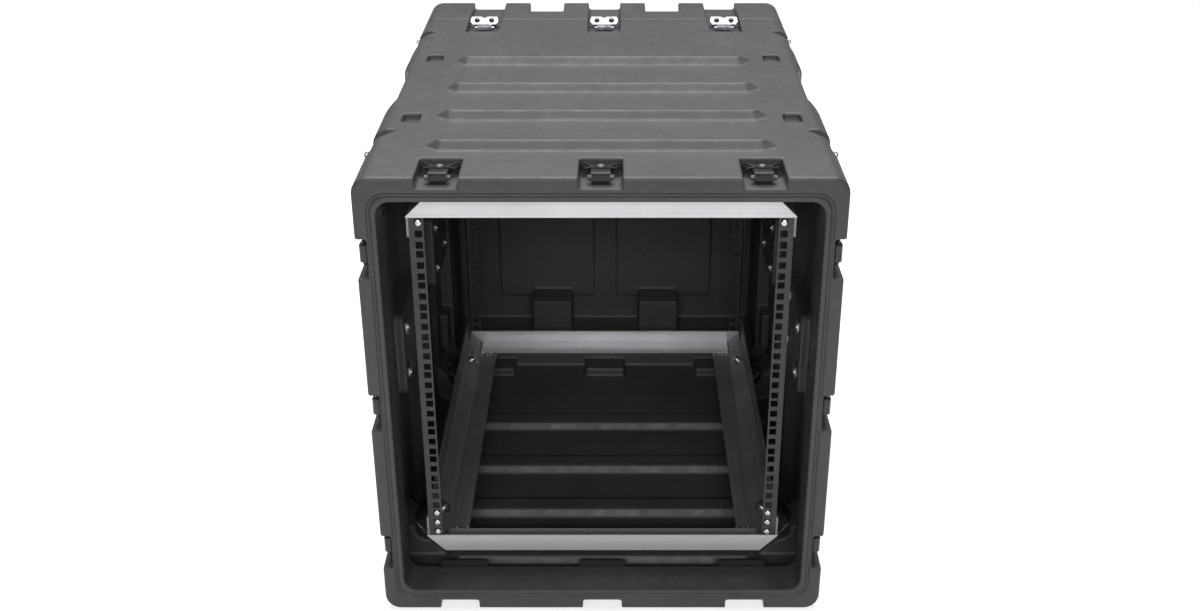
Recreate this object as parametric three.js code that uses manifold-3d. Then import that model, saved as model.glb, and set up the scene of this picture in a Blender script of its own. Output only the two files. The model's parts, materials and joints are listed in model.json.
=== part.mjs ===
// Shock-mounted 19 inch equipment rack case, with its rear lid latched on and its front open.
// Millimetres, +Z up. The open front faces -Y. The origin is at the middle of the base.

import * as THREE from 'three';
import { ConvexGeometry } from 'three/addons/geometries/ConvexGeometry.js';
import { mergeVertices } from 'three/addons/utils/BufferGeometryUtils.js';
import Module from 'manifold-3d';

const wasm = await Module();
wasm.setup();

// ---------- driving dimensions ----------

// Moulded shell
const caseWidth = 606;
const caseHeight = 649;
const bodyDepth = 718;
const lidDepth = 110;
const wall = 7;
const cornerRadius = 22;
const edgeRound = 3.5;
const rimSideWidth = 28.5;
const rimTopWidth = 32;
const frontMouthDepth = 56;
const rearMouthDepth = 40;
const cavityRadius = 20;
const mouthRadius = 18;
const partingGap = 1.5;
const rimGroove = { width: 6, depth: 4, fromMouth: 6 };

// Stacking ribs on the top, and the grooves in the base that they fit into
const ribHeight = 10;
const ribLength = 452;
const ribWidth = 33;
const ribFlank = 12;
const ribPoint = 20;
const ribFronts = [93, 209, 328, 458];
const grooveClearance = 2;

// Recesses
const latchAcross = 199;
const latchUp = 222;
const sideLatchDrop = 6;
const recessWidth = 54;
const recessDepth = 15;
const frontRecessLength = 68;
const rearRecessLength = 72;
const pitDepth = 6;
const pitFrom = 41;
const lidRecessDepth = 12;
const lidNotch = { width: 58, length: 58, topDepth: 88, sideDepth: 20 };
const lidPanel = { width: 162, height: 470, across: 110, depth: 4 };
const scoopHeight = 42;
const scoops = [
  { start: 130, length: 43, reach: 34 },
  { start: 413, length: 65, reach: 12 },
  { start: bodyDepth - 118, length: 48, reach: 34 },
];
const strapSlot = { inner: 245, outer: 269, length: 32, depth: 10 };
const strapSlotStarts = [205, bodyDepth - 238];
const sideValleys = [
  { from: 92, to: 168, depth: 8, slope: 18 },
  { from: 255, to: bodyDepth - 238, depth: 14, slope: 50 },
  { from: bodyDepth - 183, to: bodyDepth - 78, depth: 7, slope: 40 },
];

// 19 inch rack frame
const rackUnits = 11;
const unitPitch = 44.45;
const holeRowsInUnit = [6.35, 22.225, 38.1];
const holeSpacing = 465.1;
const holeSize = 9.5;
const railInnerEdge = 225.5;
const railOuterEdge = 244.7;
const railReturn = 32;
const railSheet = 2;
const frontSetback = 60;
const rearSetback = 44;
const frameLift = 2;

// Angle bars and side members
const memberSheet = 3;
const memberChamfer = 24.5;
const memberUpright = 54;
const memberFlat = 29;
const barFace = 26;
const barFlange = 43;

// Shock mounts
const mountLength = 38;
const mountPlateRadius = 23;
const mountRubberRadius = 18;
const mountWaistRadius = 15.5;
const mountPlate = 3;
const mountInset = 85;
const mountBossLength = 60;

// Latches
const frontHingeInset = 22;
const rearHingeInset = 22;
const latchHingeDrop = 7.5;
const leverLength = 38;
const leverWidth = 24;
const wingSpan = 46;

// Lift handles
const handleFronts = [217, bodyDepth - 158];
const pocket = { length: 140, height: 112, depth: 22, radius: 12 };
const pan = { length: 128, height: 100, sheet: 2 };
const bailSpan = 96;
const bailDrop = 66;
const bailWire = 8;
const gripDiameter = 17;
const pivotAbove = 36;
const lug = { thickness: 7, width: 15, bore: 9.2 };

// Clearances
const gap = 0.3;

// ---------- places that follow from them ----------

const yFront = -(bodyDepth + partingGap + lidDepth) / 2;
const yParting = yFront + bodyDepth;
const yLid = yParting + partingGap;
const yBack = yLid + lidDepth;
const zBase = 0;
const zTop = zBase + caseHeight;
const zMid = (zBase + zTop) / 2;
const halfWidth = caseWidth / 2;
const railLength = rackUnits * unitPitch;
const zRack = zMid + frameLift;
const railBottom = zRack - railLength / 2;
const railTop = zRack + railLength / 2;
const yRailFront = yFront + frontSetback;
const frameDepth = bodyDepth - frontSetback - rearSetback;
const yRailRear = yRailFront + frameDepth;
const frameHalf = railOuterEdge + gap + memberSheet;
const frameBottom = railBottom - gap - barFace;
const frameTop = railTop + gap + barFace;

// ---------- materials ----------

const plastic = new THREE.MeshStandardMaterial({ color: 0x3a3a3e, roughness: 0.6, metalness: 0 });
const rubber = new THREE.MeshStandardMaterial({ color: 0x151515, roughness: 0.8, metalness: 0 });
const railSteel = new THREE.MeshStandardMaterial({ color: 0x2b2a2c, roughness: 0.5, metalness: 0.3 });
const aluminium = new THREE.MeshStandardMaterial({ color: 0xc8c9cc, roughness: 0.35, metalness: 1 });
const blackSteel = new THREE.MeshStandardMaterial({ color: 0x18181a, roughness: 0.4, metalness: 0.4 });

// ---------- solid helpers ----------

function solidOf(geometry) {
  const bare = geometry.index ? geometry.clone() : geometry;
  bare.deleteAttribute('normal');
  bare.deleteAttribute('uv');
  const merged = mergeVertices(bare, 1e-4);
  const mesh = new wasm.Mesh({
    numProp: 3,
    vertProperties: new Float32Array(merged.attributes.position.array),
    triVerts: new Uint32Array(merged.index.array),
  });
  return new wasm.Manifold(mesh);
}

function geometryOf(solid) {
  const mesh = solid.getMesh();
  const geometry = new THREE.BufferGeometry();
  geometry.setAttribute('position', new THREE.BufferAttribute(new Float32Array(mesh.vertProperties), 3));
  geometry.setIndex(new THREE.BufferAttribute(new Uint32Array(mesh.triVerts), 1));
  geometry.computeVertexNormals();
  return geometry;
}

function union(solids) {
  return solids.reduce((whole, next) => whole.add(next));
}

function box(x0, x1, y0, y1, z0, z1) {
  const geometry = new THREE.BoxGeometry(x1 - x0, y1 - y0, z1 - z0);
  geometry.translate((x0 + x1) / 2, (y0 + y1) / 2, (z0 + z1) / 2);
  return solidOf(geometry);
}

function outline(points) {
  return new THREE.Shape(points.map(([x, y]) => new THREE.Vector2(x, y)));
}

function roundedRect(x0, x1, y0, y1, radius) {
  const shape = new THREE.Shape();
  shape.moveTo(x0 + radius, y0);
  shape.lineTo(x1 - radius, y0);
  shape.absarc(x1 - radius, y0 + radius, radius, -Math.PI / 2, 0, false);
  shape.lineTo(x1, y1 - radius);
  shape.absarc(x1 - radius, y1 - radius, radius, 0, Math.PI / 2, false);
  shape.lineTo(x0 + radius, y1);
  shape.absarc(x0 + radius, y1 - radius, radius, Math.PI / 2, Math.PI, false);
  shape.lineTo(x0, y0 + radius);
  shape.absarc(x0 + radius, y0 + radius, radius, Math.PI, Math.PI * 1.5, false);
  return shape;
}

const alongX = new THREE.Matrix4().makeBasis(
  new THREE.Vector3(0, 1, 0), new THREE.Vector3(0, 0, 1), new THREE.Vector3(1, 0, 0));
const alongY = new THREE.Matrix4().makeRotationX(Math.PI / 2);

// A shape drawn in X and Z, run along Y from y0 to y1.
function prismY(shape, y0, y1, segments = 5) {
  const geometry = new THREE.ExtrudeGeometry(shape,
    { depth: y1 - y0, bevelEnabled: false, curveSegments: segments });
  geometry.applyMatrix4(alongY);
  geometry.translate(0, y1, 0);
  return solidOf(geometry);
}

// A shape drawn in Y and Z, run along X.
function prismX(shape, x0, x1) {
  const geometry = new THREE.ExtrudeGeometry(shape,
    { depth: x1 - x0, bevelEnabled: false, curveSegments: 4 });
  geometry.applyMatrix4(alongX);
  geometry.translate(x0, 0, 0);
  return solidOf(geometry);
}

// A shape drawn in X and Y, run up Z.
function prismZ(shape, z0, z1) {
  const geometry = new THREE.ExtrudeGeometry(shape, { depth: z1 - z0, bevelEnabled: false });
  geometry.translate(0, 0, z0);
  return solidOf(geometry);
}

function cylinderBetween(start, end, radius, segments = 12) {
  const axis = new THREE.Vector3().subVectors(end, start);
  const geometry = new THREE.CylinderGeometry(radius, radius, axis.length(), segments);
  const turn = new THREE.Quaternion();
  turn.setFromUnitVectors(new THREE.Vector3(0, 1, 0), axis.clone().normalize());
  geometry.applyQuaternion(turn);
  geometry.translate((start.x + end.x) / 2, (start.y + end.y) / 2, (start.z + end.z) / 2);
  return solidOf(geometry);
}

// The rounded case section with its outer edges rounded over at both ends.
function roundedBlock(y0, y1) {
  const shape = roundedRect(-halfWidth, halfWidth, zBase, zTop, cornerRadius);
  const geometry = new THREE.ExtrudeGeometry(shape, {
    depth: y1 - y0 - 2 * edgeRound, bevelEnabled: true, bevelThickness: edgeRound,
    bevelSize: edgeRound, bevelOffset: -edgeRound, bevelSegments: 2, curveSegments: 5,
  });
  geometry.applyMatrix4(alongY);
  geometry.translate(0, y1 - edgeRound, 0);
  return solidOf(geometry);
}

// The four faces that carry latches: outward direction, and where the latches sit on each.
const acrossSeats = [['left', -latchAcross], ['centre', 0], ['right', latchAcross]];
const upSeats = [['lower', -latchUp - sideLatchDrop], ['middle', -sideLatchDrop],
  ['upper', latchUp - sideLatchDrop]];
const faces = [
  { name: 'top', axis: 'z', sign: 1, seats: acrossSeats },
  { name: 'bottom', axis: 'z', sign: -1, seats: acrossSeats },
  { name: 'left', axis: 'x', sign: -1, seats: upSeats },
  { name: 'right', axis: 'x', sign: 1, seats: upSeats },
];

// A box on a face: centred `along` the face, `width` wide, from the face down to `depth`.
function faceBox(face, along, width, y0, y1, depth, overshoot = 5) {
  if (face.axis === 'z') {
    const skin = zMid + face.sign * caseHeight / 2;
    const low = Math.min(skin - face.sign * depth, skin + face.sign * overshoot);
    const high = Math.max(skin - face.sign * depth, skin + face.sign * overshoot);
    return box(along - width / 2, along + width / 2, y0, y1, low, high);
  }
  const skin = face.sign * halfWidth;
  const low = Math.min(skin - face.sign * depth, skin + face.sign * overshoot);
  const high = Math.max(skin - face.sign * depth, skin + face.sign * overshoot);
  return box(low, high, y0, y1, zMid + along - width / 2, zMid + along + width / 2);
}

// ---------- moulded shell ----------

// Pointed slabs that taper both ways from the level `z`; `grow` widens their outline.
function ribSlabs(z, rise, grow) {
  const tip = ribLength / 2 + grow;
  const shoulder = tip - ribPoint;
  return union(ribFronts.map((front) => {
    const yLow = yFront + front - grow;
    const yHigh = yFront + front + ribWidth + grow;
    const yMiddle = (yLow + yHigh) / 2;
    const shape = outline([[-tip, yMiddle], [-shoulder, yLow], [shoulder, yLow],
      [tip, yMiddle], [shoulder, yHigh], [-shoulder, yHigh]]);
    const geometry = new THREE.ExtrudeGeometry(shape, {
      depth: 0.5, bevelEnabled: true, bevelThickness: rise, bevelSize: ribFlank,
      bevelOffset: -ribFlank, bevelSegments: 1,
    });
    geometry.translate(0, 0, z - 0.25);
    return solidOf(geometry);
  }));
}

function stackingRibs() {
  return ribSlabs(zTop, ribHeight, 0);
}

// Grooves in the base, a little wider and deeper than the ribs of the case below.
function stackingGrooves(extra) {
  return ribSlabs(zBase, ribHeight + grooveClearance + extra, grooveClearance + extra);
}

// Latch recesses on the body; `extra` grows a cut into the wall that backs it.
function bodyRecesses(extra) {
  return union(faces.flatMap((face) => face.seats.flatMap(([, along]) => {
    const width = recessWidth + 2 * extra;
    return [
      faceBox(face, along, width, yFront - 5, yFront + frontRecessLength + extra, recessDepth + extra),
      faceBox(face, along, width, yParting - rearRecessLength - extra, yParting + 5, recessDepth + extra),
      faceBox(face, along, width, yFront + pitFrom - extra, yFront + frontRecessLength + extra,
        recessDepth + pitDepth + extra),
    ];
  })));
}

function lidRecesses(extra) {
  return union(faces.flatMap((face) => {
    const channels = face.seats.map(([, along]) =>
      faceBox(face, along, recessWidth + 2 * extra, yLid - 5, yBack + 5, lidRecessDepth + extra));
    const depth = face.axis === 'z' ? lidNotch.topDepth : lidNotch.sideDepth;
    const notches = [0, 1].map((index) => {
      const along = (face.seats[index][1] + face.seats[index + 1][1]) / 2;
      return faceBox(face, along, lidNotch.width + 2 * extra, yBack - lidNotch.length - extra, yBack + 5,
        depth + extra);
    });
    return [...channels, ...notches];
  }));
}

// A closed solid around a set of points.
function hull(points) {
  return solidOf(new ConvexGeometry(points.map(([x, y, z]) => new THREE.Vector3(x, y, z))));
}

// Wedge-shaped scoops in the long edges of the case: a sloping floor that ends at an upright wall.
function scoopCuts(extra) {
  const cuts = [];
  for (const side of [-1, 1]) {
    for (const up of [-1, 1]) {
      for (const { start, length, reach } of scoops) {
        const y0 = yFront + start - extra;
        const y1 = yFront + start + length + extra;
        const inner = side * (halfWidth - reach - extra);
        const skin = side * halfWidth;
        const outer = side * (halfWidth + 8);
        const face = zMid + up * caseHeight / 2;
        const above = face + up * 8;
        const low = face - up * (scoopHeight + extra);
        cuts.push(hull([[inner, y1, face], [skin, y0, face], [skin, y1, low], [inner, y1, above],
          [skin, y0, above], [outer, y0, above], [outer, y1, above], [outer, y1, low], [outer, y0, face]]));
      }
    }
  }
  return union(cuts);
}

function strapSlots(extra) {
  const cuts = [];
  for (const side of [-1, 1]) {
    for (const start of strapSlotStarts) {
      const x0 = Math.min(side * (strapSlot.inner - extra), side * (strapSlot.outer + extra));
      const x1 = Math.max(side * (strapSlot.inner - extra), side * (strapSlot.outer + extra));
      const y0 = yFront + start - extra;
      const y1 = yFront + start + strapSlot.length + extra;
      cuts.push(box(x0, x1, y0, y1, zTop - strapSlot.depth - extra, zTop + 5));
      cuts.push(box(x0, x1, y0, y1, zBase - 5, zBase + strapSlot.depth + extra));
    }
  }
  return union(cuts);
}

// Shallow full-height valleys in each side wall, with sloped ends.
function sideValleyCuts(extra) {
  const cuts = [-1, 1].flatMap((side) => sideValleys.map(({ from, to, depth, slope }) => {
    const face = halfWidth + 1;
    const floor = halfWidth - depth - extra;
    const y0 = yFront + from - extra;
    const y1 = yFront + to + extra;
    const points = [[side * face, y0], [side * floor, y0 + slope],
      [side * floor, y1 - slope], [side * face, y1]];
    const shape = outline(side > 0 ? points.reverse() : points);
    return prismZ(shape, zBase - 5, zTop + 5);
  }));
  return union(cuts);
}

function handlePockets(extra) {
  const cuts = [-1, 1].flatMap((side) => handleFronts.map((front) => {
    const yMiddle = yFront + front;
    const shape = roundedRect(yMiddle - pocket.length / 2 - extra, yMiddle + pocket.length / 2 + extra,
      zMid - pocket.height / 2 - extra, zMid + pocket.height / 2 + extra, pocket.radius);
    const inner = halfWidth - pocket.depth - extra;
    const x0 = side > 0 ? inner : -halfWidth - 5;
    const x1 = side > 0 ? halfWidth + 5 : -inner;
    return prismX(shape, x0, x1);
  }));
  return union(cuts);
}

// Where a shock mount meets the side member: the middle of its sloping web, outside face.
function webPoint(side, up) {
  const x = side * (frameHalf - memberChamfer / 2);
  const z = up > 0 ? frameTop - memberChamfer / 2 : frameBottom + memberChamfer / 2;
  return new THREE.Vector3(x, 0, z);
}

const mountPlaces = [-1, 1].flatMap((side) => [-1, 1].flatMap((up) => [
  { side, up, end: 'front', y: yRailFront + mountInset },
  { side, up, end: 'rear', y: yRailRear - mountInset },
]));

// Moulded seats that fill the case corner behind each shock mount.
function mountBosses() {
  const reach = 120;
  return union(mountPlaces.map(({ side, up, y }) => {
    const geometry = new THREE.BoxGeometry(2 * reach, mountBossLength, reach);
    geometry.translate(0, 0, reach / 2 + mountLength + 2 * gap);
    geometry.rotateY(Math.atan2(side, up));
    const start = webPoint(side, up);
    geometry.translate(start.x, y, start.z);
    return solidOf(geometry);
  }));
}

function caseCavity() {
  const mouthX = halfWidth - rimSideWidth;
  const mouthZ = caseHeight / 2 - rimTopWidth;
  const mouth = roundedRect(-mouthX, mouthX, zMid - mouthZ, zMid + mouthZ, mouthRadius);
  const roomX = halfWidth - wall;
  const roomZ = caseHeight / 2 - wall;
  const room = roundedRect(-roomX, roomX, zMid - roomZ, zMid + roomZ, cavityRadius);
  const inner = prismY(room, yFront + frontMouthDepth, yParting - rearMouthDepth);
  const fills = [bodyRecesses(wall), scoopCuts(wall), strapSlots(wall), sideValleyCuts(wall),
    handlePockets(wall), mountBosses(), stackingGrooves(wall)];
  return inner.subtract(union(fills)).add(prismY(mouth, yFront - 5, yParting + 5));
}

function grooveRing(y0, y1) {
  const innerX = halfWidth - rimSideWidth + rimGroove.fromMouth;
  const innerZ = caseHeight / 2 - rimTopWidth + rimGroove.fromMouth;
  const w = rimGroove.width;
  const outer = roundedRect(-innerX - w, innerX + w, zMid - innerZ - w, zMid + innerZ + w, mouthRadius + w);
  const inner = roundedRect(-innerX, innerX, zMid - innerZ, zMid + innerZ, mouthRadius);
  return prismY(outer, y0, y1).subtract(prismY(inner, y0 - 1, y1 + 1));
}

function caseBody() {
  const outer = roundedBlock(yFront, yParting).add(stackingRibs());
  const cuts = [bodyRecesses(0), scoopCuts(0), strapSlots(0), sideValleyCuts(0), handlePockets(0),
    stackingGrooves(0),
    grooveRing(yFront - 5, yFront + rimGroove.depth), caseCavity()];
  return outer.subtract(union(cuts));
}

function lidPanels(extra) {
  return union([-1, 1].map((side) => box(
    side * lidPanel.across - lidPanel.width / 2 - extra, side * lidPanel.across + lidPanel.width / 2 + extra,
    yBack - lidPanel.depth - extra, yBack + 5,
    zMid - lidPanel.height / 2 - extra, zMid + lidPanel.height / 2 + extra)));
}

function rearLid() {
  const roomX = halfWidth - rimSideWidth;
  const roomZ = caseHeight / 2 - rimTopWidth;
  const room = roundedRect(-roomX, roomX, zMid - roomZ, zMid + roomZ, mouthRadius);
  const cavity = prismY(room, yLid - 5, yBack - wall).subtract(lidRecesses(wall)).subtract(lidPanels(wall));
  const groove = grooveRing(yLid - 5, yLid + rimGroove.depth);
  return roundedBlock(yLid, yBack).subtract(union([lidRecesses(0), lidPanels(0), groove, cavity]));
}

// The seal lies in the lid's groove and stands out to meet the body's rear rim.
function lidSeal() {
  const inner = rimGroove.fromMouth + gap;
  const innerX = halfWidth - rimSideWidth + inner;
  const innerZ = caseHeight / 2 - rimTopWidth + inner;
  const w = rimGroove.width - 2 * gap;
  const y0 = yParting + gap;
  const y1 = yLid + rimGroove.depth - gap;
  const outer = roundedRect(-innerX - w, innerX + w, zMid - innerZ - w, zMid + innerZ + w, mouthRadius + w);
  const hole = roundedRect(-innerX, innerX, zMid - innerZ, zMid + innerZ, mouthRadius);
  return prismY(outer, y0, y1).subtract(prismY(hole, y0 - 1, y1 + 1));
}

// ---------- rack frame ----------

// One rail, drawn for the right-hand front corner: a drilled face and a return flange.
function rackRail() {
  const shape = outline([[railInnerEdge, 0], [railOuterEdge, 0],
    [railOuterEdge, railLength], [railInnerEdge, railLength]]);
  for (let unit = 0; unit < rackUnits; unit += 1) {
    for (const row of holeRowsInUnit) {
      const x = holeSpacing / 2;
      const z = unit * unitPitch + row;
      const half = holeSize / 2;
      shape.holes.push(new THREE.Path([[-half, -half], [-half, half], [half, half], [half, -half]]
        .map(([dx, dz]) => new THREE.Vector2(x + dx, z + dz))));
    }
  }
  const face = prismY(shape, 0, railSheet);
  const flange = box(railOuterEdge - railSheet, railOuterEdge, 0, railReturn, 0, railLength);
  return face.add(flange);
}

// One end bar, drawn for the bottom front: a bevelled face and a flange that runs inwards.
function endBar() {
  const half = frameHalf;
  const face = outline([[-half, barFace], [-half, memberChamfer], [-half + memberChamfer, 0],
    [half - memberChamfer, 0], [half, memberChamfer], [half, barFace]]);
  const lift = memberSheet + gap;
  const flangeHalf = half - memberChamfer - memberSheet * 0.4 - gap;
  const flange = box(-flangeHalf, flangeHalf, 0, barFlange, lift, lift + memberSheet);
  return prismY(face, 0, memberSheet).add(flange);
}

// One side member, drawn for the bottom right: flat, sloping web and upright in one sheet.
function sideMember() {
  const t = memberSheet;
  const bend = t * (Math.SQRT2 - 1);
  const half = frameHalf;
  const knee = half - memberChamfer;
  const section = outline([[knee - memberFlat, 0], [knee, 0], [half, memberChamfer], [half, memberUpright],
    [half - t, memberUpright], [half - t, memberChamfer + bend], [knee - bend, t], [knee - memberFlat, t]]);
  return prismY(section, 0, frameDepth - 2 * (memberSheet + gap));
}

// ---------- shock mount, latch and handle ----------

function mountGeometry() {
  const half = mountLength / 2;
  const flat = half - mountPlate;
  const profile = [[0, -half], [mountPlateRadius, -half], [mountPlateRadius, -flat],
    [mountRubberRadius, -flat], [mountWaistRadius, 0], [mountRubberRadius, flat],
    [mountPlateRadius, flat], [mountPlateRadius, half], [0, half]];
  return new THREE.LatheGeometry(profile.map(([x, y]) => new THREE.Vector2(x, y)), 14);
}

// A latch lever about its hinge: X is the hinge line, +Y runs along the lever, +Z is outward.
function latchLever() {
  const neck = leverLength - 12;
  const side = outline([[-5, -3.6], [4, -4], [8, -2], [neck, -1], [leverLength, -2], [leverLength, 1],
    [neck, 3.5], [10, 4.5], [4, 5.5], [-3, 5], [-5, 1]]);
  const body = prismX(side, -leverWidth / 2, leverWidth / 2);
  const tip = leverLength - 3;
  const wings = prismZ(outline([[-wingSpan / 2, tip - 7], [-leverWidth / 2, tip - 14],
    [leverWidth / 2, tip - 14], [wingSpan / 2, tip - 7],
    [leverWidth / 2, tip], [-leverWidth / 2, tip]]), 0, 3);
  const reach = leverWidth / 2 + 4;
  const pin = cylinderBetween(new THREE.Vector3(-reach, 0, 0), new THREE.Vector3(reach, 0, 0), 3, 8);
  return union([body, wings, pin]);
}

// A lift handle about its pivot: Y is the pivot line, -Z hangs down, X is outward.
function handleBail() {
  const half = bailSpan / 2;
  const wire = bailWire / 2;
  const bar = cylinderBetween(new THREE.Vector3(0, -half, 0), new THREE.Vector3(0, half, 0), wire);
  const armAt = half - wire;
  const arms = [-1, 1].map((end) => cylinderBetween(new THREE.Vector3(0, end * armAt, 0),
    new THREE.Vector3(0, end * armAt, -bailDrop), wire));
  const grip = cylinderBetween(new THREE.Vector3(0, -half, -bailDrop),
    new THREE.Vector3(0, half, -bailDrop), gripDiameter / 2, 16);
  return union([bar, ...arms, grip]);
}

// The handle's dished backing plate with two lugs that hold the pivot bar.
function handlePan() {
  const away = pivotHeight();
  const plateShape = roundedRect(-pan.length / 2, pan.length / 2, -pan.height / 2, pan.height / 2, 8);
  const sheet = prismX(plateShape, 0, pan.sheet);
  const lugs = [-1, 1].map((end) => {
    const y = end * (bailSpan / 2 - bailWire - gap * 4 - lug.thickness / 2);
    return box(0, away + lug.width / 2, y - lug.thickness / 2, y + lug.thickness / 2,
      pivotAbove - lug.width / 2, pivotAbove + lug.width / 2);
  });
  const bore = cylinderBetween(new THREE.Vector3(away, -pan.length, pivotAbove),
    new THREE.Vector3(away, pan.length, pivotAbove), lug.bore / 2);
  return union([sheet, ...lugs]).subtract(bore);
}

function pivotHeight() {
  return pan.sheet + gap * 3 + gripDiameter / 2;
}

// ---------- assembly ----------

const rack = new THREE.Group();

function addMesh(name, geometry, material, parent = rack) {
  const mesh = new THREE.Mesh(geometry, material);
  mesh.name = name;
  parent.add(mesh);
  return mesh;
}

addMesh('case_body', geometryOf(caseBody()), plastic);
addMesh('rear_lid', geometryOf(rearLid()), plastic);
addMesh('lid_seal', geometryOf(lidSeal()), rubber);

// A turn of half a circle about one axis carries a piece drawn for one corner to another.
const railGeometry = geometryOf(rackRail());
const barGeometry = geometryOf(endBar());
const memberGeometry = geometryOf(sideMember());

function addTurned(name, geometry, material, place, turn) {
  const mesh = addMesh(name, geometry, material);
  mesh.position.set(...place);
  mesh.rotation.set(...turn);
}

const halfTurn = Math.PI;
addTurned('front_rail_right', railGeometry, railSteel, [0, yRailFront, railBottom], [0, 0, 0]);
addTurned('front_rail_left', railGeometry, railSteel, [0, yRailFront, railTop], [0, halfTurn, 0]);
addTurned('rear_rail_left', railGeometry, railSteel, [0, yRailRear, railBottom], [0, 0, halfTurn]);
addTurned('rear_rail_right', railGeometry, railSteel, [0, yRailRear, railTop], [halfTurn, 0, 0]);

addTurned('front_bar_bottom', barGeometry, aluminium, [0, yRailFront, frameBottom], [0, 0, 0]);
addTurned('front_bar_top', barGeometry, aluminium, [0, yRailFront, frameTop], [0, halfTurn, 0]);
addTurned('rear_bar_bottom', barGeometry, aluminium, [0, yRailRear, frameBottom], [0, 0, halfTurn]);
addTurned('rear_bar_top', barGeometry, aluminium, [0, yRailRear, frameTop], [halfTurn, 0, 0]);

const yMemberFront = yRailFront + memberSheet + gap;
const yMemberRear = yRailRear - memberSheet - gap;
addTurned('side_member_bottom_right', memberGeometry, aluminium, [0, yMemberFront, frameBottom], [0, 0, 0]);
addTurned('side_member_bottom_left', memberGeometry, aluminium, [0, yMemberRear, frameBottom],
  [0, 0, halfTurn]);
addTurned('side_member_top_left', memberGeometry, aluminium, [0, yMemberFront, frameTop], [0, halfTurn, 0]);
addTurned('side_member_top_right', memberGeometry, aluminium, [0, yMemberRear, frameTop], [halfTurn, 0, 0]);

const mountShape = mountGeometry();
for (const { side, up, end, y } of mountPlaces) {
  const name = `shock_mount_${end}_${up > 0 ? 'top' : 'bottom'}_${side > 0 ? 'right' : 'left'}`;
  const mesh = addMesh(name, mountShape, rubber);
  const out = new THREE.Vector3(side, 0, up).normalize();
  mesh.quaternion.setFromUnitVectors(new THREE.Vector3(0, 1, 0), out);
  mesh.position.copy(webPoint(side, up)).addScaledVector(out, mountLength / 2 + gap);
  mesh.position.y = y;
}

const leverGeometry = geometryOf(latchLever());
const latchEnds = [['front', yFront + frontHingeInset], ['rear', yParting - rearHingeInset]];
for (const [end, yHinge] of latchEnds) {
  for (const face of faces) {
    for (const [seat, along] of face.seats) {
      const out = new THREE.Vector3(face.axis === 'x' ? face.sign : 0, 0, face.axis === 'z' ? face.sign : 0);
      const run = new THREE.Vector3(0, 1, 0);
      const across = new THREE.Vector3().crossVectors(run, out);
      const mesh = addMesh(`latch_${end}_${face.name}_${seat}`, leverGeometry, blackSteel);
      mesh.quaternion.setFromRotationMatrix(new THREE.Matrix4().makeBasis(across, run, out));
      const skin = (face.axis === 'x' ? halfWidth : caseHeight / 2) - latchHingeDrop;
      mesh.position.set(face.axis === 'x' ? face.sign * skin : along, yHinge,
        face.axis === 'z' ? zMid + face.sign * skin : zMid + along);
    }
  }
}

const bailGeometry = geometryOf(handleBail());
const panGeometry = geometryOf(handlePan());
for (const side of [-1, 1]) {
  handleFronts.forEach((front, index) => {
    const where = `${index === 0 ? 'front' : 'rear'}_${side > 0 ? 'right' : 'left'}`;
    const group = new THREE.Group();
    group.position.set(side * (halfWidth - pocket.depth + gap), yFront + front, zMid);
    group.rotation.z = side > 0 ? 0 : Math.PI;
    rack.add(group);
    addMesh(`handle_plate_${where}`, panGeometry, blackSteel, group);
    const bail = addMesh(`handle_${where}`, bailGeometry, blackSteel, group);
    bail.position.set(pivotHeight(), 0, pivotAbove);
  });
}

export default rack;
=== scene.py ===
# Shock-mounted 19 inch rack case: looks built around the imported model.
import json
import math

import bmesh
import bpy
from mathutils import Matrix, Vector


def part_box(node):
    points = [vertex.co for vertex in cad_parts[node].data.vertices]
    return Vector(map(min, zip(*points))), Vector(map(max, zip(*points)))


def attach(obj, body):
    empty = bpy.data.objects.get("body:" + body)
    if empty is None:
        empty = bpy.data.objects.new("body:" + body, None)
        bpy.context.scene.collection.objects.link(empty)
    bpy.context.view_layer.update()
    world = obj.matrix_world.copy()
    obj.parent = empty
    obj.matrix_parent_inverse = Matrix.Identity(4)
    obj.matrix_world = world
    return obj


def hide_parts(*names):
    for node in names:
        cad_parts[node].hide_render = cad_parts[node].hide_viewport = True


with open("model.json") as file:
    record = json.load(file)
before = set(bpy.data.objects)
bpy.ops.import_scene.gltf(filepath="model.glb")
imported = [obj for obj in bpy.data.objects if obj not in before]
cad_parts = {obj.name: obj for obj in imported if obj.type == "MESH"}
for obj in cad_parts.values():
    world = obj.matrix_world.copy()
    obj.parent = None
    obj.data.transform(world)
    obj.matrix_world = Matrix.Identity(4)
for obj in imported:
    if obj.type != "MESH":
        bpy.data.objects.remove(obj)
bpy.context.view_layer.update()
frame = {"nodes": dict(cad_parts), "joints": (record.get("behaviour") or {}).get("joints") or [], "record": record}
record = frame["record"]
nodes = frame["nodes"]
joints = {joint["name"]: joint for joint in frame["joints"]}

MM = 0.001


# ---------- camera ----------

def make_camera():
    data = bpy.data.cameras.new("camera")
    data.sensor_width = 36
    data.lens = 41.1
    data.shift_x = -0.0113
    data.shift_y = -0.0394
    camera = bpy.data.objects.new("camera", data)
    camera.location = (0.0157, -1.9464, 1.2597)
    camera.rotation_euler = (math.radians(90 - 25.08), 0, 0)
    bpy.context.scene.collection.objects.link(camera)
    bpy.context.scene.camera = camera


make_camera()


# ---------- materials ----------

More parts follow.
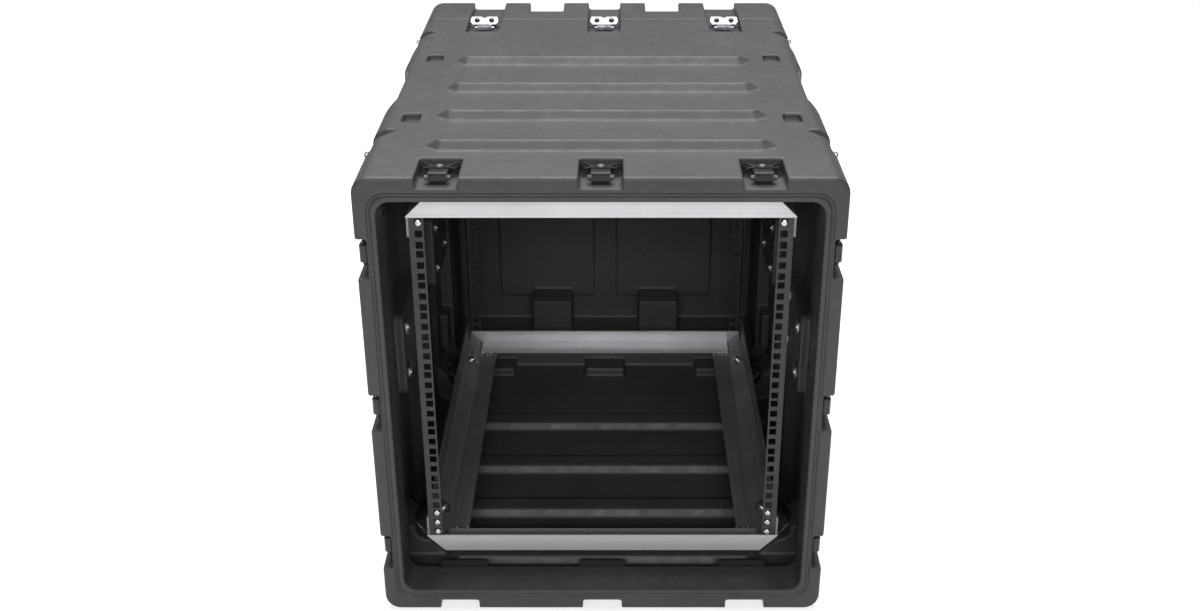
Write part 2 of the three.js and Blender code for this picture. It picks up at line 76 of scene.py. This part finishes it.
class Nodes:
    """A material's node tree, with short ways to add and join nodes."""

    def __init__(self, name, **sockets):
        self.material = bpy.data.materials.new(name)
        self.material.use_nodes = True
        self.tree = self.material.node_tree
        self.shader = self.tree.nodes["Principled BSDF"]
        for key, value in sockets.items():
            self.shader.inputs[key.replace("_", " ")].default_value = value
        self.coord = self.tree.nodes.new("ShaderNodeTexCoord").outputs["Object"]

    def add(self, kind, **settings):
        node = self.tree.nodes.new("ShaderNode" + kind)
        for key, value in settings.items():
            setattr(node, key, value)
        return node

    def link(self, source, target):
        self.tree.links.new(source, target)

    def stretched(self, scale):
        mapping = self.add("Mapping")
        mapping.inputs["Scale"].default_value = scale
        self.link(self.coord, mapping.inputs["Vector"])
        return mapping.outputs["Vector"]

    def noise(self, scale, detail=2.0, vector=None, roughness=0.5):
        node = self.add("TexNoise")
        node.inputs["Scale"].default_value = scale
        node.inputs["Detail"].default_value = detail
        node.inputs["Roughness"].default_value = roughness
        self.link(vector or self.coord, node.inputs["Vector"])
        return node.outputs["Fac"]

    def ramp(self, fac, *stops):
        node = self.add("ValToRGB")
        elements = node.color_ramp.elements
        while len(elements) < len(stops):
            elements.new(0.5)
        for element, (place, colour) in zip(elements, stops):
            element.position = place
            element.color = (*colour, 1)
        self.link(fac, node.inputs["Fac"])
        return node.outputs["Color"]

    def map(self, fac, low, high, start=0.0, end=1.0):
        node = self.add("MapRange")
        node.inputs["From Min"].default_value = start
        node.inputs["From Max"].default_value = end
        node.inputs["To Min"].default_value = low
        node.inputs["To Max"].default_value = high
        self.link(fac, node.inputs["Value"])
        return node.outputs["Result"]

    def math(self, operation, a, b):
        node = self.add("Math", operation=operation)
        for socket, value in zip(node.inputs, (a, b)):
            if isinstance(value, (int, float)):
                socket.default_value = value
            else:
                self.link(value, socket)
        return node.outputs[0]

    def bump(self, height, distance, strength=1.0, below=None):
        node = self.add("Bump")
        node.inputs["Distance"].default_value = distance
        node.inputs["Strength"].default_value = strength
        self.link(height, node.inputs["Height"])
        if below is not None:
            self.link(below, node.inputs["Normal"])
        return node.outputs["Normal"]

    def colour(self, socket):
        self.link(socket, self.shader.inputs["Base Color"])

    def roughness(self, socket):
        self.link(socket, self.shader.inputs["Roughness"])

    def normal(self, socket):
        self.link(socket, self.shader.inputs["Normal"])


def grey(value, tint=(1, 1, 1)):
    return tuple(value * t for t in tint)


def moulded_plastic():
    """Charcoal polyethylene with the pebbled skin and slow waves that a mould leaves."""
    n = Nodes("moulded_plastic", IOR=1.5)
    cool = (0.97, 0.96, 1.06)
    mottle = n.noise(9, 4)
    n.colour(n.ramp(mottle, (0.3, grey(0.064, cool)), (0.7, grey(0.078, cool))))
    n.roughness(n.map(n.noise(60, 3), 0.40, 0.56, 0.3, 0.7))
    waves = n.bump(n.noise(7, 1), 0.0018)
    pebble = n.bump(n.noise(700, 2), 0.00016, below=waves)
    n.normal(n.bump(n.noise(2200, 1), 0.00006, below=pebble))
    return n.material


def brushed_metal(name, low, high, scale, metallic, roughness=(0.30, 0.48)):
    n = Nodes(name, Metallic=metallic)
    lines = n.noise(1, 3, n.stretched(scale))
    clouds = n.noise(14, 3)
    mixed = n.math("ADD", n.math("MULTIPLY", lines, 0.6), n.math("MULTIPLY", clouds, 0.4))
    n.colour(n.ramp(mixed, (0.3, low), (0.7, high)))
    n.roughness(n.map(mixed, roughness[1], roughness[0], 0.3, 0.7))
    n.normal(n.bump(lines, 0.00008))
    return n.material


def painted_metal(name, colour, roughness, grain=1400, depth=0.00004):
    n = Nodes(name, Metallic=0.0, IOR=1.5)
    worn = n.noise(40, 5)
    n.colour(n.ramp(worn, (0.35, colour), (0.75, tuple(c * 1.35 for c in colour))))
    n.roughness(n.map(n.noise(90, 3), roughness - 0.07, roughness + 0.07, 0.3, 0.7))
    n.normal(n.bump(n.noise(grain, 2), depth))
    return n.material


def zinc_plate():
    n = Nodes("zinc_plate", Metallic=1.0)
    n.colour(n.ramp(n.noise(160, 3), (0.3, (0.50, 0.50, 0.53)), (0.7, (0.74, 0.74, 0.77))))
    n.roughness(n.map(n.noise(90, 3), 0.22, 0.38, 0.3, 0.7))
    n.normal(n.bump(n.noise(900, 2), 0.00004))
    return n.material


def soft_rubber(name, value):
    n = Nodes(name, IOR=1.45)
    n.colour(n.ramp(n.noise(70, 4), (0.3, grey(value)), (0.7, grey(value * 1.5))))
    n.roughness(n.map(n.noise(200, 3), 0.6, 0.8, 0.3, 0.7))
    n.normal(n.bump(n.noise(900, 3), 0.00012))
    return n.material


PLASTIC = moulded_plastic()
ALONG_X = brushed_metal("aluminium_along_x", (0.62, 0.62, 0.64), (0.76, 0.76, 0.78), (3, 900, 900), 0.5)
ALONG_Y = brushed_metal("aluminium_along_y", (0.20, 0.19, 0.21), (0.44, 0.42, 0.44), (900, 3, 900), 0.5)
RAIL = painted_metal("rail_powder_coat", (0.040, 0.036, 0.041), 0.42, 2200, 0.00006)
LATCH = painted_metal("latch_e_coat", (0.016, 0.016, 0.018), 0.30)
HANDLE = painted_metal("handle_powder_coat", (0.020, 0.020, 0.022), 0.38, 1800, 0.00006)
ZINC = zinc_plate()
RIVET_STEEL = painted_metal("rivet_steel", (0.10, 0.11, 0.13), 0.35)
SEAL = soft_rubber("seal_sponge", 0.016)
MOUNT = soft_rubber("mount_elastomer", 0.020)
GRIP = soft_rubber("grip_rubber", 0.014)

SLOT_MATERIALS = {
    "shell_plastic": PLASTIC, "seal_rubber": SEAL, "rail_steel": RAIL, "frame_aluminium": ALONG_X,
    "mount_rubber": MOUNT, "latch_black": LATCH, "latch_zinc": ZINC, "handle_steel": HANDLE,
}


def paint_cad_nodes():
    for part in record["subparts"]:
        node = nodes[part["node"]]
        material = SLOT_MATERIALS[part["material_slot"]]
        if part["node"].startswith("side_member"):
            material = ALONG_Y
        node.data.materials.clear()
        node.data.materials.append(material)


paint_cad_nodes()


# ---------- moulded shells ----------

VOXEL = 2.0 * MM


def rounded_shell(name, node, body):
    """The CAD shell with every edge and corner softened, as a rotational mould leaves them."""
    mesh = nodes[node].data.copy()
    mesh.name = name
    shell = bpy.data.objects.new(name, mesh)
    bpy.context.scene.collection.objects.link(shell)
    remesh = shell.modifiers.new("remesh", "REMESH")
    remesh.mode = "VOXEL"
    remesh.voxel_size = VOXEL
    smooth = shell.modifiers.new("smooth", "SMOOTH")
    smooth.factor = 0.5
    smooth.iterations = 2
    thin = shell.modifiers.new("thin", "DECIMATE")
    thin.ratio = 0.25
    made = bpy.data.meshes.new_from_object(shell.evaluated_get(bpy.context.evaluated_depsgraph_get()))
    shell.modifiers.clear()
    shell.data = made
    made.shade_smooth()
    made.materials.clear()
    made.materials.append(PLASTIC)
    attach(shell, body)
    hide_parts(node)
    print(name, len(made.polygons), "faces")
    return shell


rounded_shell("shell_body", "case_body", "case")
rounded_shell("shell_lid", "rear_lid", "lid")


# ---------- fittings ----------

def piece(name, bm, place, body, material, bevel=0.0, smooth=False):
    """A finished loose piece: its mesh, moved to its place, tied to a body and a finish."""
    if bevel:
        edges = [edge for edge in bm.edges if edge.calc_face_angle(0) > 0.5]
        bmesh.ops.bevel(bm, geom=edges, offset=bevel, segments=2, affect="EDGES", clamp_overlap=True)
    bmesh.ops.recalc_face_normals(bm, faces=bm.faces)
    mesh = bpy.data.meshes.new(name)
    bm.to_mesh(mesh)
    bm.free()
    if smooth:
        mesh.shade_smooth()
        mesh.set_sharp_from_angle(angle=math.radians(35))
    mesh.materials.append(material)
    obj = bpy.data.objects.new(name, mesh)
    obj.matrix_world = place
    bpy.context.scene.collection.objects.link(obj)
    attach(obj, body)
    return obj


def joined(bm, rings, closed=False):
    """Quads between rings of points, with caps at both ends unless the row of rings closes."""
    rows = [[bm.verts.new(point) for point in ring] for ring in rings]
    count = len(rows[0])
    pairs = list(zip(rows, rows[1:]))
    if closed:
        pairs.append((rows[-1], rows[0]))
    for low, high in pairs:
        for i in range(count):
            j = (i + 1) % count
            bm.faces.new((low[i], low[j], high[j], high[i]))
    if not closed:
        bm.faces.new(reversed(rows[0]))
        bm.faces.new(rows[-1])


def slab(outline, z0, z1):
    """An outline in X and Y, raised from z0 to z1, in millimetres."""
    bm = bmesh.new()
    joined(bm, [[(x * MM, y * MM, z * MM) for x, y in outline] for z in (z0, z1)])
    return bm


def strip(side, half_width):
    """A side outline in Y and Z, drawn out along X both ways, in millimetres."""
    bm = bmesh.new()
    joined(bm, [[(x * MM, y * MM, z * MM) for y, z in side] for x in (-half_width, half_width)])
    return bm


def turned(profile, segments=24):
    """A profile of (radius, height) in millimetres, turned about Z."""
    bm = bmesh.new()
    angles = [2 * math.pi * i / segments for i in range(segments)]
    joined(bm, [[(r * MM * math.cos(a), r * MM * math.sin(a), h * MM) for a in angles]
                for r, h in profile])
    return bm


def torus(radius, wire, segments=24, around=10):
    bm = bmesh.new()
    rings = []
    for i in range(segments):
        turn = 2 * math.pi * i / segments
        ring = []
        for k in range(around):
            lean = 2 * math.pi * k / around
            reach = (radius + wire * math.cos(lean)) * MM
            ring.append((reach * math.cos(turn), reach * math.sin(turn), wire * MM * math.sin(lean)))
        rings.append(ring)
    joined(bm, rings, closed=True)
    return bm


def frame_at(origin, x, y, z):
    place = Matrix((x, y, z)).transposed().to_4x4()
    place.translation = origin
    return place


def facing(origin, direction):
    """A place whose Z runs along `direction`."""
    place = Vector(direction).to_track_quat("Z", "Y").to_matrix().to_4x4()
    place.translation = origin
    return place


SCREW = [(0.6, 1.0), (1.7, 1.0), (1.9, 2.6), (3.0, 2.6), (4.2, 1.8), (4.6, 0.4), (4.6, 0)]
NUT = [(0.6, 6.0), (3.0, 6.0), (3.2, 5.0), (6.4, 5.0), (7.0, 4.4), (7.0, 1.4), (11.0, 1.4), (11.2, 0)]
FENDER = [(0.6, 3.6), (3.4, 3.6), (5.2, 3.0), (5.8, 1.4), (12.0, 1.4), (12.4, 0.9), (12.4, 0)]


def fastener(name, profile, origin, direction, body="case"):
    piece(name, turned(profile), facing(Vector(origin), direction), body, ZINC, smooth=True)


# ---------- latches ----------

FRONT_PLATE = [(-22, 20), (22, 20), (22, 43), (14, 46), (-14, 46), (-22, 43)]
REAR_PLATE = [(-23, 5), (-19, 0), (19, 0), (23, 5), (21, 14), (4, 14), (3, 12), (-3, 12), (-4, 14), (-21, 14)]
HOOK = [(-5.2, 3.6), (-6.0, -2.8), (-4.8, -3.0), (-4.0, 2.4), (2, 5.0), (2, 6.4), (-3, 5.8)]
CROSS = [(-22, 16), (-8, 21), (0, 18), (8, 21), (22, 16), (12, 25), (22, 35), (8, 29), (0, 32), (-8, 29),
         (-22, 35), (-12, 25)]
RIVET = [(0.6, 2.2), (2.6, 2.0), (4.2, 1.2), (4.8, 0), (4.8, -1)]


def latch_frames(end):
    for name, joint in sorted(joints.items()):
        if name.startswith("latch_" + end):
            axis = Vector(joint["axis"])
            run = Vector((0, 1, 0))
            yield name.removesuffix("_hinge"), joint["child"], frame_at(
                Vector(joint["pos_m"]), axis, run, axis.cross(run))


def front_latches():
    for name, lever, place in latch_frames("front"):
        piece(name + "_base", slab(FRONT_PLATE, -12.5, -9.5), place, "case", LATCH, 0.5 * MM)
        piece(name + "_hook", strip(HOOK, 11), place, lever, LATCH, 0.3 * MM)
        lifted = place @ Matrix.Translation((0, 0, 3.2 * MM))
        piece(name + "_cross", slab(CROSS, 0, 1.6), lifted, lever, LATCH, 0.4 * MM)
        centre = place @ Matrix.Translation((0, 25 * MM, 5.2 * MM))
        piece(name + "_rivet", turned(RIVET), centre, lever, RIVET_STEEL, smooth=True)


def rear_latches():
    for name, lever, place in latch_frames("rear"):
        block = [(-15.5, -3), (15.5, -3), (15.5, 12), (-15.5, 12)]
        piece(name + "_body", slab(block, 3.4, 5.6), place, lever, LATCH, 0.6 * MM)
        tilt = Matrix.Translation((0, -1 * MM, 4.5 * MM)) @ Matrix.Rotation(math.radians(44), 4, "X")
        plate = place @ tilt
        piece(name + "_plate", slab(REAR_PLATE, 0, 1.8), plate, lever, ZINC, 0.4 * MM)
        for side in (-12, 12):
            spot = plate @ Matrix.Translation((side * MM, 7.5 * MM, 1.8 * MM))
            eyelet = f"{name}_eyelet_{'left' if side < 0 else 'right'}"
            piece(eyelet, turned(RIVET, 16), spot, lever, LATCH, smooth=True)


front_latches()
rear_latches()


# ---------- frame, mounts and case hardware ----------

SIDES = (("left", -1), ("right", 1))
rail_low, rail_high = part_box("front_rail_right")
bar_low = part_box("front_bar_bottom")[0]
case_low, case_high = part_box("case_body")
rim_y = case_low.y
RAIL_HOLE_X = 232.55 * MM
RIB_HEIGHT = 10 * MM
SHEET = 3 * MM
GAP = 0.3 * MM
POCKET_DEPTH = 22 * MM
WALL = 7 * MM

# Where the loose hardware sits, from the rails, the plates and the rim.
MEMBER_SCREW_SETBACK = 48 * MM
MEMBER_SCREW_ACROSS = (196 * MM, 211 * MM)
MOUNT_HALF_LENGTH = 19 * MM
MOUNT_PLATE_REACH = 17.5
PLATE_BOLT_RUN = 50
PLATE_BOLT_RISE = 36
PLATE_FACE_DEPTH = 19.7 * MM
BAIL_DROP = 66 * MM
GRIP_HALF = 39
GRIP_RIBS = 12
GRIP_RIB_PITCH = 6
RING_PLACES = (("front", 108), ("rear", 622))
RING_BELOW_TOP = 12 * MM
RING_INSIDE_SKIN = 5 * MM
SHANK_REACH = 13 * MM
case_top = case_high.z - RIB_HEIGHT


def rail_screws():
    rows = {"top": rail_high.z - 6.35 * MM}
    for index, rise in enumerate((6.35, 22.225, 38.1)):
        rows[f"low_{index}"] = rail_low.z + rise * MM
    for side, sign in SIDES:
        for row, z in rows.items():
            fastener(f"rail_screw_{row}_{side}", SCREW, (sign * RAIL_HOLE_X, rail_low.y, z), (0, -1, 0))


def member_screws():
    rear_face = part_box("rear_rail_right")[1].y
    rows = (("front", rail_low.y + MEMBER_SCREW_SETBACK), ("rear", rear_face - MEMBER_SCREW_SETBACK))
    for side, sign in SIDES:
        for end, y in rows:
            for index, x in enumerate(MEMBER_SCREW_ACROSS):
                spot = (sign * x, y, bar_low.z + SHEET)
                fastener(f"member_screw_{end}_{side}_{index}", SCREW, spot, (0, 0, 1))


def mount_hardware():
    for side, sign in SIDES:
        for level, up in (("bottom", -1), ("top", 1)):
            for end in ("front", "rear"):
                name = f"shock_mount_{end}_{level}_{side}"
                low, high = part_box(name)
                out = Vector((sign, 0, up)).normalized()
                middle = (low + high) / 2
                web = middle - out * (MOUNT_HALF_LENGTH + GAP + SHEET)
                fastener(name + "_nut", NUT, web, -out)
                for index, reach in enumerate((-MOUNT_PLATE_REACH, MOUNT_PLATE_REACH)):
                    rim = turned([(20, -1.7), (23.4, -1.7), (23.8, -1.2), (23.8, 1.2), (23.4, 1.7),
                                  (20, 1.7)])
                    plate = facing(middle + out * reach * MM, out)
                    piece(f"{name}_plate_{index}", rim, plate, "case", ZINC, smooth=True)
                band = turned([(16.6, -3), (19.0, -2.2), (19.6, 0), (19.0, 2.2), (16.6, 3)])
                piece(name + "_band", band, facing(middle, out), "case", MOUNT, smooth=True)


def handle_bolts():
    corners = [(dy, dz) for dz in (-PLATE_BOLT_RISE, PLATE_BOLT_RISE)
               for dy in (-PLATE_BOLT_RUN, PLATE_BOLT_RUN)]
    for side, sign in SIDES:
        for end in ("front", "rear"):
            low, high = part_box(f"handle_plate_{end}_{side}")
            middle = (low + high) / 2
            for index, (dy, dz) in enumerate(corners):
                x = sign * (case_high.x - POCKET_DEPTH - WALL)
                spot = (x, middle.y + dy * MM, middle.z + dz * MM)
                fastener(f"handle_bolt_{end}_{side}_{index}", FENDER, spot, (-sign, 0, 0))
                front = (sign * (case_high.x - PLATE_FACE_DEPTH), spot[1], spot[2])
                fastener(f"handle_rivet_{end}_{side}_{index}", SCREW, front, (sign, 0, 0))


def handle_grips():
    for side, sign in SIDES:
        for end in ("front", "rear"):
            joint = joints[f"handle_{end}_{side}_swing"]
            pivot = Vector(joint["pos_m"])
            profile = [(4, -GRIP_HALF), (8.6, -GRIP_HALF)]
            for index in range(GRIP_RIBS):
                y = -36 + index * GRIP_RIB_PITCH
                profile += [(8.9, y - 1.6), (9.3, y), (8.9, y + 1.6), (8.55, y + 2.6)]
            profile += [(8.6, GRIP_HALF), (4, GRIP_HALF)]
            place = facing(pivot - Vector((0, 0, BAIL_DROP)), (0, 1, 0))
            piece(f"grip_{end}_{side}", turned(profile, 28), place, joint["child"], GRIP,
                  smooth=True)


def edge_rings():
    """Small rings on short shanks beside the scoops at the top edges."""
    for side, sign in SIDES:
        for end, behind in RING_PLACES:
            y = rim_y + behind * MM
            z = case_top - RING_BELOW_TOP
            spot = Vector((sign * (case_high.x - RING_INSIDE_SKIN), y, z))
            piece(f"edge_ring_{end}_{side}", torus(4.0, 1.2), facing(spot, (0, -1, 0.2)), "case",
                  ZINC, smooth=True)
            shank = turned([(1.6, 0), (1.6, 10), (2.6, 10), (2.6, 12)], 16)
            start = spot - Vector((sign * SHANK_REACH, 0, 0))
            piece(f"edge_shank_{end}_{side}", shank, facing(start, (sign, 0, 0)), "case",
                  ZINC, smooth=True)


rail_screws()
member_screws()
mount_hardware()
handle_bolts()
handle_grips()
edge_rings()


# ---------- studio ----------

def make_floor():
    mesh = bpy.data.meshes.new("floor")
    half = 30
    mesh.from_pydata([(-half, -half, 0), (half, -half, 0), (half, half, 0), (-half, half, 0)], [],
                     [(0, 1, 2, 3)])
    floor = bpy.data.objects.new("floor", mesh)
    bpy.context.scene.collection.objects.link(floor)
    n = Nodes("floor_paint", Roughness=0.9)
    n.shader.inputs["Base Color"].default_value = (0.85, 0.85, 0.86, 1)
    n.shader.inputs["Emission Color"].default_value = (1, 1, 1, 1)
    n.shader.inputs["Emission Strength"].default_value = 0.62
    dim = n.add("BsdfDiffuse")
    dim.inputs["Color"].default_value = (0.22, 0.22, 0.22, 1)
    mix = n.add("MixShader")
    path = n.add("LightPath")
    seen = n.math("MAXIMUM", path.outputs["Is Camera Ray"], path.outputs["Is Glossy Ray"])
    n.link(seen, mix.inputs["Fac"])
    n.link(dim.outputs[0], mix.inputs[1])
    n.link(n.shader.outputs[0], mix.inputs[2])
    n.link(mix.outputs[0], n.tree.nodes["Material Output"].inputs["Surface"])
    mesh.materials.append(n.material)


def area_light(name, place, aim, size, power):
    data = bpy.data.lights.new(name, "AREA")
    data.shape = "RECTANGLE"
    data.size, data.size_y = size
    data.energy = power
    lamp = bpy.data.objects.new(name, data)
    lamp.location = place
    lamp.rotation_euler = (Vector(aim) - Vector(place)).to_track_quat("-Z", "Y").to_euler()
    bpy.context.scene.collection.objects.link(lamp)


def make_studio():
    make_floor()
    world = bpy.data.worlds.new("studio")
    world.use_nodes = True
    world.node_tree.nodes["Background"].inputs["Color"].default_value = (1, 1, 1, 1)
    world.node_tree.nodes["Background"].inputs["Strength"].default_value = 0.13
    bpy.context.scene.world = world
    area_light("overhead", (0, 0.8, 3.2), (0, 0, 0.6), (3.0, 3.0), 132)
    area_light("front_fill", (0, -3.4, 1.95), (0, -0.4, 0.4), (2.6, 0.6), 52)
    bpy.context.scene.view_settings.view_transform = "Standard"


make_studio()
